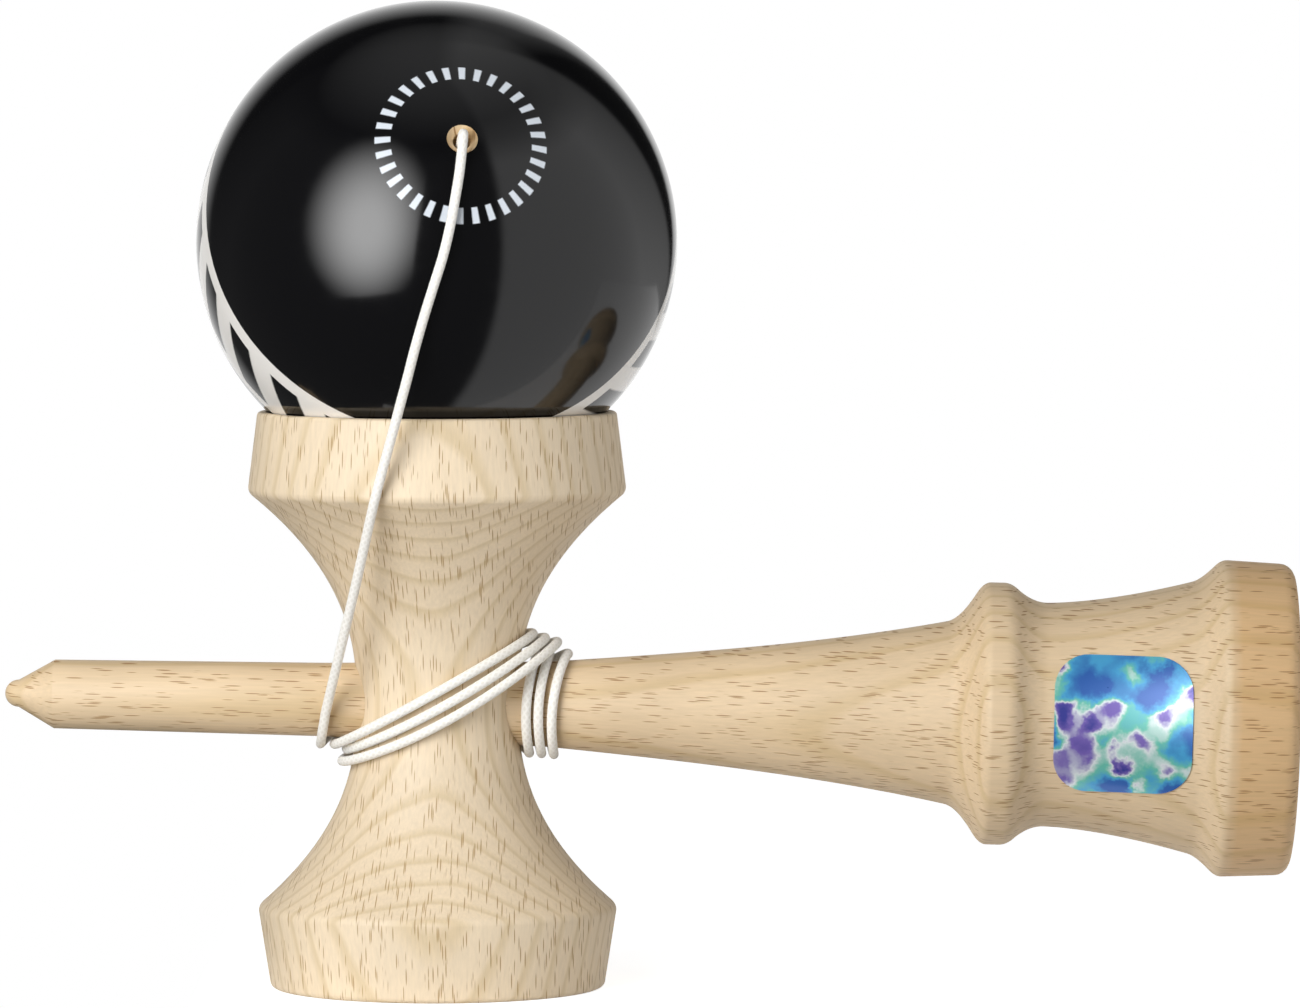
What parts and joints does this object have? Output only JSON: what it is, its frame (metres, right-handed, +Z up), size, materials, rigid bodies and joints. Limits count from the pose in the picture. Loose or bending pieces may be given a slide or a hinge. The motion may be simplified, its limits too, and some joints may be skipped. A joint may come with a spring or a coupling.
{
  "type": "kendama",
  "caption": "Wooden cup-and-ball toy: a spiked handle through a two-cup cross-piece, with a lacquered ball on a wound string.",
  "frame": {"origin": "centre of the small cup's rim, on the surface the toy stands on", "axes": "+Z up the cross-piece's axis, +X along the handle towards its base cup, +Y away from the side with the ball's string hole"},
  "size_m": [0.1612, 0.0615, 0.1233],
  "materials": {
    "pale_beech": "turned and waxed",
    "golden_beech": "turned and waxed",
    "ball_lacquer": "gloss lacquer",
    "bead_wood": "bare",
    "string": "braided",
    "label_foil": "iridescent foil"
  },
  "bodies": {
    "cross": {"cross_piece": "pale_beech", "string_winding": "string", "string_lead": "string"},
    "handle_body": {"handle": "golden_beech", "label": "label_foil", "handle_knot": "string", "string_tail": "string"},
    "string_end": {"stop_bead": "bead_wood", "bead_knot": "string", "string_in_ball": "string"},
    "ball_body": {"ball": "ball_lacquer"}
  },
  "joints": [
    {"name": "handle_pull", "type": "slide", "parent": "cross", "child": "handle_body", "axis": [0.9998, 0, -0.0209], "range_m": [0, 0.07], "deforming": ["string_tail"]},
    {"name": "ball_lift", "type": "slide", "parent": "cross", "child": "string_end", "axis": [0, 0, 1], "range_m": [0, 0.06], "deforming": ["string_lead"]},
    {"name": "ball_spin", "type": "hinge", "parent": "string_end", "child": "ball_body", "pos_m": [0, 0, 0.09334], "axis": [0.1251, -0.89, 0.4384], "continuous": true}
  ]
}
